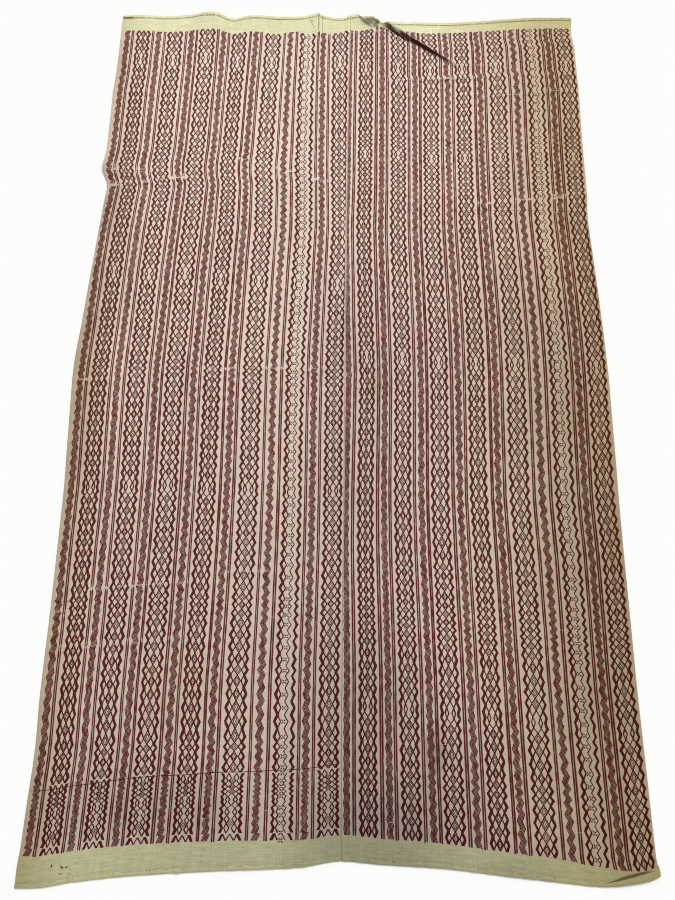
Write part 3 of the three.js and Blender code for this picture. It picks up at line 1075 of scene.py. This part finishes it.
# Painted fold shade and small marks: (x, y, half length, half width, turn in degrees,
# strength).
PAINTED_FOLD_SHADE_AND_MARKS = [
    (135, 883, 46, 3.4, -41, 0.95), (200, 839, 64, 3.2, -36.5, 1.0),
    (160, 868, 32, 3.2, -38.5, 0.9), (240, 810, 28, 2.6, -37, 0.9),
    (-524, 932, 16, 1.8, 0, 0.85), (99, 928, 13, 4.0, 0, 0.3),
    (-56, 918, 34, 1.6, 90, 0.6), (-47, 915, 30, 1.8, 90, 0.35),
    (84, 914, 17, 5.5, 58, 0.65), (57, 916, 31, 5.0, -45, 0.6),
    (-72, 912, 26, 1.4, -68, 0.3), (490, -928, 46, 2.0, 13, 0.8),
    (-503, -912, 3.2, 1.4, 80, 0.95), (-485, -914, 4.0, 1.8, -30, 0.9),
    (-477, -914, 3.0, 1.4, 20, 0.85), (-486, -924, 4.5, 1.2, 5, 0.6),
    (-541, 800, 60, 2.0, 90, 0.5), (-74, 920, 5.0, 4.0, 0, 0.35),
]
# Where a spot begins and where it is full, as shares of its size. Folds have a hard rim.
SOFT_RIM, SOFT_CORE = 1.35, 0.15
HARD_RIM, HARD_CORE = 1.2, 0.55
# The stains are patchy: the noise's scale, the values of it between which a stain grows to its
# whole strength, and the share of the strength that is left below them.
PATCH_SCALE, PATCHES_FROM, PATCHES_TO, PATCHES_LEAVE = 26.0, 0.3, 0.65, 0.35
CLOUD_SCALE = 5.0
# Painted light falloff: the finishes are painted brighter towards the far end between these
# places.
PAINTED_FALLOFF_FROM_Y, PAINTED_FALLOFF_TO_Y = -0.98, 0.62
# Darker and yellower towards the sides, between these places across.
SIDE_FROM_X, SIDE_TO_X = 0.16, 0.56
LEFT_SIDE_FROM_X, LEFT_SIDE_TO_X = -0.46, -0.60
soil_and_shade_group, given, result = shader_group(
    "soiling_and_fading",
    [("Vector", VECTOR, None)],
    [("Fade", FLOAT), ("Side", FLOAT), ("Stain", FLOAT), ("Grey", FLOAT), ("Cloud", FLOAT),
     ("Fold", FLOAT)],
)
split = node(soil_and_shade_group, "ShaderNodeSeparateXYZ", {0: given.outputs["Vector"]})
# Painted light falloff along the cloth.
falloff = node(soil_and_shade_group, "ShaderNodeMapRange",
            {"Value": split.outputs[1], "From Min": PAINTED_FALLOFF_FROM_Y, "From Max": PAINTED_FALLOFF_TO_Y})
soil_and_shade_group.links.new(falloff.outputs[0], result.inputs["Fade"])
side = math_node(soil_and_shade_group, "ADD",
                 ramp(soil_and_shade_group, split.outputs[0], SIDE_FROM_X, SIDE_TO_X),
                 ramp(soil_and_shade_group, split.outputs[0], LEFT_SIDE_FROM_X, LEFT_SIDE_TO_X))
soil_and_shade_group.links.new(side, result.inputs["Side"])


def soft_spots(tree, vector, spots, rim=SOFT_RIM, core=SOFT_CORE):
    """The strongest of some soft spots at each place; a sixth number turns a spot."""
    total = None
    for x, y, wide, long, *turn, strength in spots:
        angle = math.radians(turn[0]) if turn else 0.0
        moved = node(tree, "ShaderNodeMapping",
                     {"Vector": vector, "Location": (x * MM, y * MM, 0.0),
                      "Rotation": (0.0, 0.0, angle), "Scale": (wide * MM, long * MM, 1.0)},
                     vector_type="TEXTURE")
        distance = node(tree, "ShaderNodeVectorMath", {0: moved.outputs[0]},
                        operation="LENGTH")
        spot = ramp(tree, distance.outputs["Value"], rim, core, 0.0, strength)
        total = spot if total is None else math_node(tree, "MAXIMUM", total, spot)
    return total


floor_place = given.outputs["Vector"]
stains = soft_spots(soil_and_shade_group, floor_place, STAINS)
# Painted shade in greyer patches.
grey_shade = soft_spots(soil_and_shade_group, floor_place, PAINTED_GREY_SHADE_PATCHES)
# Painted shade along the folds and slits, and a few small marks.
folds = soft_spots(soil_and_shade_group, floor_place, PAINTED_FOLD_SHADE_AND_MARKS, HARD_RIM, HARD_CORE)
patchy = node(soil_and_shade_group, "ShaderNodeTexNoise",
              {"Vector": floor_place, "Scale": PATCH_SCALE, "Detail": 4.0})
patches = ramp(soil_and_shade_group, patchy.outputs[0], PATCHES_FROM, PATCHES_TO, PATCHES_LEAVE, 1.0)
patched = math_node(soil_and_shade_group, "MULTIPLY", stains, patches)
cloud = node(soil_and_shade_group, "ShaderNodeTexNoise",
             {"Vector": floor_place, "Scale": CLOUD_SCALE, "Detail": 3.0})
for label, socket in (("Stain", patched), ("Grey", grey_shade), ("Fold", folds),
                      ("Cloud", cloud.outputs[0])):
    soil_and_shade_group.links.new(socket, result.inputs[label])
# The soiled folds counted here are painted shade in the folds and slits, with a few small
# marks.
print("stains, grey patches and soiled folds:",
      [len(rows) for rows in (STAINS, PAINTED_GREY_SHADE_PATCHES, PAINTED_FOLD_SHADE_AND_MARKS)])

# %% [markdown]
# ## Finishes
# The undyed cotton is cream in the patterned part and a greener straw in the plain ends,
# where no dye bled into it. It is painted brighter and yellower at the far end and greyer at
# the near one, a painted light falloff. The red yarn is a deep brownish red, painted lighter
# towards the far end by the same falloff. Each finish takes the threads as a small bump and
# as an uneven tone.

# %% Natural cotton and red yarn
def start_material(name, roughness, sheen, specular=0.2):
    """A new material, its tree and its shader, with matt cloth's values."""
    material = bpy.data.materials.new(name)
    material.use_nodes = True
    tree = material.node_tree
    shader = tree.nodes["Principled BSDF"]
    shader.inputs["Roughness"].default_value = roughness
    shader.inputs["Sheen Weight"].default_value = sheen
    shader.inputs["Sheen Roughness"].default_value = 0.5
    shader.inputs["Specular IOR Level"].default_value = specular
    return material, tree, shader


def soiled_and_shaded(tree):
    """The soiling and painted shade group, fed with the place on the floor, and that place."""
    place = node(tree, "ShaderNodeTexCoord").outputs["Object"]
    soil_and_shade = node(tree, "ShaderNodeGroup", node_tree=soil_and_shade_group)
    tree.links.new(place, soil_and_shade.inputs["Vector"])
    return soil_and_shade, place


BUMP_STRENGTH = 0.35


def thread_bump(tree, shader, uv, warp_pitch, weft_pitch, distance):
    """Threads as a small bump on the shader. Gives their uneven tone."""
    threads = node(tree, "ShaderNodeGroup", node_tree=weave_group)
    tree.links.new(uv, threads.inputs["Vector"])
    threads.inputs["Warp Pitch"].default_value = warp_pitch
    threads.inputs["Weft Pitch"].default_value = weft_pitch
    bump = node(tree, "ShaderNodeBump", {"Strength": BUMP_STRENGTH, "Distance": distance,
                                         "Height": threads.outputs["Height"]})
    tree.links.new(bump.outputs[0], shader.inputs["Normal"])
    return threads.outputs["Tone"]


def toned(tree, colour, amount, strength):
    """The colour made lighter or darker by an uneven amount about zero."""
    factor = math_node(tree, "ADD", math_node(tree, "MULTIPLY", amount, strength), 1.0)
    grey = node(tree, "ShaderNodeCombineXYZ", {0: factor, 1: factor, 2: factor})
    return mix_colour(tree, 1.0, colour, grey.outputs[0], "MULTIPLY")


# Far and near colours: a painted light falloff makes the far end brighter and the near one
# darker.
GROUND_FAR, GROUND_NEAR = srgb("E7D5C7"), srgb("B7A999")
PLAIN_FAR_COLOUR, PLAIN_NEAR_COLOUR = srgb("E2DFB3"), srgb("B0AD88")
SIDE_TINT = srgb("DAD2BA")
STAIN_COLOUR = srgb("8A6B45")
# Painted shade for the dark slits of the folds, the hems and the roll.
PAINTED_FOLD_SHADE_COLOUR = srgb("3F1D12")
CLOUD_STRENGTH = 0.25
# Half the width of the step from the plain end's colour to the patterned part's.
END_OF_PATTERN_MM = 0.6


def aged_and_shaded(tree, soil_and_shade, colour, stain_colour, stain_share):
    """The colour as the soiling and painted shade group leaves it: stained, darker and yellower
    towards the sides, painted dark in the folds and greyed in painted shade patches.
    """
    share = math_node(tree, "MULTIPLY", soil_and_shade.outputs["Stain"], stain_share)
    colour = mix_colour(tree, share, colour, stain_colour)
    colour = mix_colour(tree, soil_and_shade.outputs["Side"], colour, SIDE_TINT, "MULTIPLY")
    # Painted shade in the folds and slits.
    colour = mix_colour(tree, soil_and_shade.outputs["Fold"], colour, PAINTED_FOLD_SHADE_COLOUR)
    # Greyer patches of painted shade.
    grey = math_node(tree, "MULTIPLY", soil_and_shade.outputs["Grey"], -1.0)
    clouds = math_node(tree, "SUBTRACT", soil_and_shade.outputs["Cloud"], 0.5)
    return toned(tree, toned(tree, colour, grey, 1.0), clouds, CLOUD_STRENGTH)


SPECK_COLOUR = srgb("4A4030")
# Specks: the noise's scale, the values between which a speck darkens, and how much at most.
SPECK_SCALE, SPECK_FROM, SPECK_TO, SPECK_SHARE = 210.0, 0.70, 0.78, 0.6
# Mottling of the plain ends: (how the noise is stretched, how strong it is).
MOTTLES = (((24.0, 420.0, 1.0), 0.5), ((70.0, 110.0, 1.0), 0.28))


def mottled(tree, colour, uv):
    """Plain cotton with long weft streaks, grey patches and a few dark specks."""
    for stretch, strength in MOTTLES:
        stretched = node(tree, "ShaderNodeVectorMath", {0: uv, 1: stretch},
                         operation="MULTIPLY")
        noise = node(tree, "ShaderNodeTexNoise",
                     {"Vector": stretched.outputs[0], "Scale": 1.0, "Detail": 3.0})
        colour = toned(tree, colour, math_node(tree, "SUBTRACT", noise.outputs[0], 0.5),
                       strength)
    specks = node(tree, "ShaderNodeTexNoise",
                  {"Vector": uv, "Scale": SPECK_SCALE, "Detail": 1.0})
    share = ramp(tree, specks.outputs[0], SPECK_FROM, SPECK_TO, 0.0, SPECK_SHARE)
    return mix_colour(tree, share, colour, SPECK_COLOUR)


def natural_cotton():
    """Undyed cotton: cream in the patterned part and straw in the plain ends."""
    material, tree, shader = start_material("natural_cotton", roughness=0.92, sheen=0.12)
    uv = node(tree, "ShaderNodeUVMap", uv_map="weave").outputs[0]
    soil_and_shade, _ = soiled_and_shaded(tree)
    tone = thread_bump(tree, shader, uv, warp_pitch=0.0011, weft_pitch=0.001, distance=0.0006)
    # Painted light falloff: the near end's colours turn to the far end's brighter ones.
    falloff = soil_and_shade.outputs["Fade"]
    ground = mix_colour(tree, falloff, GROUND_NEAR, GROUND_FAR)
    plain = mix_colour(tree, falloff, PLAIN_NEAR_COLOUR, PLAIN_FAR_COLOUR)
    woven = node(tree, "ShaderNodeSeparateXYZ", {0: uv}).outputs[1]
    edge = END_OF_PATTERN_MM * MM
    begun = ramp(tree, woven, -edge, edge)
    ended = ramp(tree, woven, PATTERN_LONG * MM - edge, PATTERN_LONG * MM + edge, 1.0, 0.0)
    inside = math_node(tree, "MULTIPLY", begun, ended)
    plain = mottled(tree, plain, uv)
    colour = mix_colour(tree, inside, plain, ground)
    colour = aged_and_shaded(tree, soil_and_shade, colour, STAIN_COLOUR, stain_share=0.42)
    colour = toned(tree, colour, tone, strength=0.35)
    tree.links.new(colour, shader.inputs["Base Color"])
    return material


# Far and near red, lighter at the far end by a painted light falloff: the long floats of the
# lattice, then the short ones of the stripes.
LATTICE_REDS = (srgb("673B33"), srgb("4A1516"))
STRIPE_REDS = (srgb("6F3A35"), srgb("541D1F"))
RED_STAINED = srgb("5E3A22")


def red_yarn(name, lighter_far_red, darker_near_red):
    """Dyed pattern yarn, painted from a darker red at the near end to a lighter one at the far,
    a painted light falloff.
    """
    material, tree, shader = start_material(name, roughness=0.95, sheen=0.0, specular=0.06)
    uv = node(tree, "ShaderNodeUVMap", uv_map="weave").outputs[0]
    soil_and_shade, _ = soiled_and_shaded(tree)
    tone = thread_bump(tree, shader, uv, warp_pitch=0.0008, weft_pitch=0.001, distance=0.0005)
    # Painted light falloff: darker red at the near end, lighter at the far.
    colour = mix_colour(tree, soil_and_shade.outputs["Fade"], darker_near_red, lighter_far_red)
    colour = aged_and_shaded(tree, soil_and_shade, colour, RED_STAINED, stain_share=0.5)
    colour = toned(tree, colour, tone, strength=0.6)
    tree.links.new(colour, shader.inputs["Base Color"])
    return material


FINE_FIBRE_SCALE = 700.0
FINE_FIBRE_BUMP = {"Strength": 0.3, "Distance": 0.0002}


def plain_thread(name, far, near, tone_strength):
    """Sewing or weft thread: one colour painted greyer towards the near end, a painted light
    falloff, with uneven tone.
    """
    material, tree, shader = start_material(name, roughness=0.9, sheen=0.1)
    soil_and_shade, place = soiled_and_shaded(tree)
    # Painted light falloff along the cloth.
    colour = mix_colour(tree, soil_and_shade.outputs["Fade"], near, far)
    fine = node(tree, "ShaderNodeTexNoise",
                {"Vector": place, "Scale": FINE_FIBRE_SCALE, "Detail": 2.0})
    amount = math_node(tree, "SUBTRACT", fine.outputs[0], 0.5)
    colour = toned(tree, colour, amount, tone_strength)
    bump = node(tree, "ShaderNodeBump", {**FINE_FIBRE_BUMP, "Height": fine.outputs[0]})
    tree.links.new(bump.outputs[0], shader.inputs["Normal"])
    tree.links.new(colour, shader.inputs["Base Color"])
    return material


cotton = natural_cotton()
red = red_yarn("red_pattern_yarn", *LATTICE_REDS)
stripe_red = red_yarn("red_stripe_yarn", *STRIPE_REDS)
# Far and near colours of each thread, for the painted light falloff.
pale_thread = plain_thread("pale_weft_thread", srgb("EFE6D2"), srgb("D3C6AF"), 0.4)
hem_thread = plain_thread("dark_hem_thread", srgb("6A6038"), srgb("4A4430"), 0.6)
seam_thread = plain_thread("seam_thread", srgb("B59C8A"), srgb("8F7B6A"), 0.5)
for panel in ("left", "right"):
    sheets[panel].data.materials.append(cotton)
    for piece in patterns[panel]:
        finish = {"pale": pale_thread, "zigz": stripe_red}.get(piece.name[:4], red)
        piece.data.materials.append(finish)
finishes = (cotton, red, stripe_red, pale_thread, hem_thread, seam_thread)
print("finishes:", [material.name for material in finishes])

# %% [markdown]
# ## Hand stitches
# The hems are held by running stitches in a dark thread, and the panels by stitches that
# slant across the seam. A stitch repeats hundreds of times along a line, which is what
# Geometry Nodes are good at. The tree turns a line into points, sets a small thread capsule
# on each, turned and sized a little unevenly, and makes them real geometry.

# %% Build the stitch tree
# A random node has sockets for every kind of data. These are the places of those used here.
RANDOM_LEAST, RANDOM_MOST, RANDOM_NUMBER, RANDOM_CHOICE = 2, 3, 1, 3
SHORTEST_STITCH, LONGEST_STITCH = 0.75, 1.2
THREAD_SIDES, THREAD_RINGS = 6, 5


def stitch_tree():
    """The Geometry Nodes tree that sets stitches along a line."""
    tree = bpy.data.node_groups.new("hand_stitches", "GeometryNodeTree")
    tree.is_modifier = True
    sockets = [
        ("Line", "NodeSocketGeometry"), ("Pitch", FLOAT), ("Stitch Length", FLOAT),
        ("Thread Radius", FLOAT), ("Slant", FLOAT), ("Skipped", FLOAT),
        ("Seed", "NodeSocketInt"), ("Thread", "NodeSocketMaterial"),
    ]
    for label, kind in sockets:
        tree.interface.new_socket(label, in_out="INPUT", socket_type=kind)
    tree.interface.new_socket("Geometry", in_out="OUTPUT", socket_type="NodeSocketGeometry")
    given = tree.nodes.new("NodeGroupInput").outputs
    curve = node(tree, "GeometryNodeMeshToCurve", {"Mesh": given["Line"]})
    points = node(tree, "GeometryNodeCurveToPoints",
                  {"Curve": curve.outputs[0], "Length": given["Pitch"]}, mode="LENGTH")
    turned = node(tree, "ShaderNodeVectorRotate",
                  {"Vector": points.outputs["Tangent"], "Angle": given["Slant"]},
                  rotation_type="Z_AXIS")
    store = node(tree, "GeometryNodeStoreNamedAttribute",
                 {"Geometry": points.outputs["Points"], "Name": "stitch_way",
                  "Value": turned.outputs[0]}, data_type="FLOAT_VECTOR", domain="POINT")
    skip = node(tree, "FunctionNodeRandomValue", {"Probability": given["Skipped"],
                                                  "Seed": given["Seed"]}, data_type="BOOLEAN")
    thinned = node(tree, "GeometryNodeDeleteGeometry",
                   {"Geometry": store.outputs[0], "Selection": skip.outputs[RANDOM_CHOICE]})
    way = node(tree, "GeometryNodeInputNamedAttribute", {"Name": "stitch_way"},
               data_type="FLOAT_VECTOR")
    aligned = node(tree, "FunctionNodeAlignRotationToVector",
                   {"Vector": way.outputs["Attribute"]}, axis="Z")
    size = node(tree, "FunctionNodeRandomValue",
                {RANDOM_LEAST: SHORTEST_STITCH, RANDOM_MOST: LONGEST_STITCH,
                 "Seed": given["Seed"]}, data_type="FLOAT")
    half = math_node(tree, "MULTIPLY", given["Stitch Length"], 0.5)
    long = math_node(tree, "MULTIPLY", half, size.outputs[RANDOM_NUMBER])
    scale = node(tree, "ShaderNodeCombineXYZ",
                 {0: given["Thread Radius"], 1: given["Thread Radius"], 2: long})
    capsule = node(tree, "GeometryNodeMeshUVSphere",
                   {"Segments": THREAD_SIDES, "Rings": THREAD_RINGS, "Radius": 1.0})
    placed = node(tree, "GeometryNodeInstanceOnPoints",
                  {"Points": thinned.outputs[0], "Instance": capsule.outputs[0],
                   "Rotation": aligned.outputs[0], "Scale": scale.outputs[0]})
    real = node(tree, "GeometryNodeRealizeInstances", {0: placed.outputs[0]})
    smooth = node(tree, "GeometryNodeSetShadeSmooth", {"Geometry": real.outputs[0]})
    dressed = node(tree, "GeometryNodeSetMaterial",
                   {"Geometry": smooth.outputs[0], "Material": given["Thread"]})
    out = tree.nodes.new("NodeGroupOutput")
    tree.links.new(dressed.outputs[0], out.inputs[0])
    return tree


stitches = stitch_tree()


def stitch_along(name, paths, **values):
    """Stitches along lines of points in mm, as one plain mesh."""
    carrier_mesh = bpy.data.meshes.new(name + "_line")
    points = np.concatenate(paths) * MM
    edges = []
    first = 0
    for path in paths:
        edges += [(first + i, first + i + 1) for i in range(len(path) - 1)]
        first += len(path)
    carrier_mesh.from_pydata(points.tolist(), edges, [])
    carrier = new_object(name + "_line", carrier_mesh)
    modifier = carrier.modifiers.new("stitches", "NODES")
    modifier.node_group = stitches
    named = {item.name: item.identifier for item in stitches.interface.items_tree}
    for label, value in values.items():
        modifier[named[label.replace("_", " ")]] = value
    evaluated = carrier.evaluated_get(bpy.context.evaluated_depsgraph_get())
    mesh = bpy.data.meshes.new_from_object(evaluated)
    mesh.name = name
    bpy.data.objects.remove(carrier)
    print(name, "has", sum(len(p.vertices) - 2 for p in mesh.polygons), "triangles")
    return new_object(name, mesh)


# %% Sew the hems and the seam
# For each end: how far in the line lies and how high, in mm, and the share of the right
# panel where it stops.
HEM_LINES = {"near": (6.6, 2.4, 0.80), "far": (8.6, 2.6, 0.99)}
# The stitches: pitch, length and thread radius in metres, share skipped, seed.
HEM_STITCHES = {
    "near": (0.0052, 0.0038, 0.00035, 0.12, 3), "far": (0.0075, 0.0062, 0.0005, 0.10, 5),
}
FIRST_SHARE, LAST_SHARE = 0.01, 0.99
LINE_POINTS = 160
# The hand's waver along a hem, as (mm, how long a wave is).
WAVERS = ((0.5, 31.0), (0.3, 9.0))
SEAM_FROM_Y, SEAM_TO_Y, SEAM_POINTS = -890, 915, 500
SEAM_RISE_MM = 1.0
SEAM_WAVER_MM, SEAM_WAVER_LONG_MM = 0.4, 13.0


def hem_line(panel, near, to_share, inset, rise):
    """Points along a hem, a nearly fixed distance in from the end."""
    across = np.linspace(FIRST_SHARE, to_share, LINE_POINTS)
    along = np.full_like(across, 0.5)
    for _ in range(SETTLING_ROUNDS):
        x, y, long = plan(panel, across, along)
        inward = inset
        for far_out, wave in WAVERS:
            inward = inward + far_out * np.sin(x / wave)
        along = inward / long if near else 1 - inward / long
    x, y, _ = plan(panel, across, along)
    return raise_from_floor(x, y, np.full_like(x, rise))


sewing = {}
for end, (inset, rise, right_to) in HEM_LINES.items():
    name = "hem_stitches_" + end
    pitch, length, radius, skipped, seed = HEM_STITCHES[end]
    paths = [hem_line(panel, end == "near", to_share, inset, rise)
             for panel, to_share in (("left", LAST_SHARE), ("right", right_to))]
    sewing[name] = stitch_along(
        name, paths, Pitch=pitch, Stitch_Length=length, Thread_Radius=radius, Slant=0.0,
        Skipped=skipped, Seed=seed, Thread=hem_thread)
seam_y = np.linspace(SEAM_FROM_Y, SEAM_TO_Y, SEAM_POINTS)
seam_x = seam_line(seam_y) + SEAM_WAVER_MM * np.sin(seam_y / SEAM_WAVER_LONG_MM)
seam_path = raise_from_floor(seam_x, seam_y, np.full_like(seam_y, SEAM_RISE_MM))
sewing["seam_stitches"] = stitch_along(
    "seam_stitches", [seam_path], Pitch=0.0058, Stitch_Length=0.0042, Thread_Radius=0.00038,
    Slant=1.0, Skipped=0.06, Seed=8, Thread=seam_thread)

# %% [markdown]
# ## Floor and light
# A pale floor and an even sky give the soft light of a photograph by a window. A broad lamp
# from the far end draws the folds. The floor stays nearly white, as the cut-out background
# of the photograph is.

# %% Floor, sky and lamp
FLOOR_HALF = 6.0
# The floor lies a hair below the cloth, so that the two never share a plane.
FLOOR_LEVEL = -0.0002
FLOOR_COLOUR = (0.93, 0.93, 0.92, 1.0)
corners = [(x * FLOOR_HALF, y * FLOOR_HALF, FLOOR_LEVEL)
           for x, y in ((-1, -1), (1, -1), (1, 1), (-1, 1))]
floor_mesh = bpy.data.meshes.new("floor")
floor_mesh.from_pydata(corners, [], [(0, 1, 2, 3)])
floor = new_object("floor", floor_mesh)
floor_material = bpy.data.materials.new("pale_floor")
floor_material.use_nodes = True
floor_shader = floor_material.node_tree.nodes["Principled BSDF"]
floor_shader.inputs["Base Color"].default_value = FLOOR_COLOUR
floor_shader.inputs["Roughness"].default_value = 1.0
floor_shader.inputs["Specular IOR Level"].default_value = 0.0
floor_mesh.materials.append(floor_material)

SKY_STRENGTH = 0.66
LAMP_STRENGTH = 1.75
LAMP_SOFTNESS = math.radians(14)
LAMP_FROM = Vector((0.42, 0.95, 1.05))
# A narrow pixel filter keeps the thin lines of the weave as crisp as in the photograph.
PIXEL_FILTER = 1.1
world = bpy.data.worlds.new("even_sky")
world.use_nodes = True
world.node_tree.nodes["Background"].inputs["Color"].default_value = (1.0, 1.0, 1.0, 1.0)
world.node_tree.nodes["Background"].inputs["Strength"].default_value = SKY_STRENGTH
bpy.context.scene.world = world
lamp_data = bpy.data.lights.new("window_light", "SUN")
lamp_data.energy = LAMP_STRENGTH
lamp_data.angle = LAMP_SOFTNESS
lamp = new_object("window_light", lamp_data)
lamp.rotation_euler = (-LAMP_FROM).to_track_quat("-Z", "Y").to_euler()
bpy.context.scene.cycles.filter_width = PIXEL_FILTER
bpy.context.scene.view_settings.view_transform = "Standard"
print("lamp elevation:", round(math.degrees(math.asin(LAMP_FROM.normalized().z))), "degrees")

# %% [markdown]
# ## Fit the pieces to the model
# Every piece rides on the one body, and each fine sheet stands for its plain solid.

# %% Ride and replace
for panel in ("left", "right"):
    sheet = sheets[panel]
    for piece in [sheet, *patterns[panel]]:
        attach(piece, "root")
    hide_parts("panel_" + panel)
for piece in sewing.values():
    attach(piece, "root")
